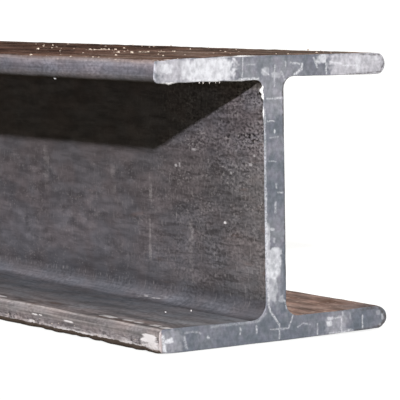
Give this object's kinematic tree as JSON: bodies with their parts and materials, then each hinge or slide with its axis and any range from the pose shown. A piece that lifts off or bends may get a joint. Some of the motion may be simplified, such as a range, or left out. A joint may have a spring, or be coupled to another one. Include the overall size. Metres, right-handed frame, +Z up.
{
  "type": "steel i-beam",
  "caption": "Hot-rolled wide-flange steel I-beam with parallel flanges, rounded roots and toes and sawn ends, used as a lintel, joist or post.",
  "frame": {"origin": "middle of the lower flange's underside, half way along the beam", "axes": "+X along the beam towards the sawn end that the picture shows, +Y across the flanges, +Z up through the web"},
  "size_m": [1.2192, 0.1032, 0.1057],
  "materials": {
    "mill_steel": "hot-rolled mill scale, rusted brown on the outer faces, with a bare sawn end"
  },
  "bodies": {
    "root": {"i_beam": "mill_steel"}
  },
  "joints": []
}
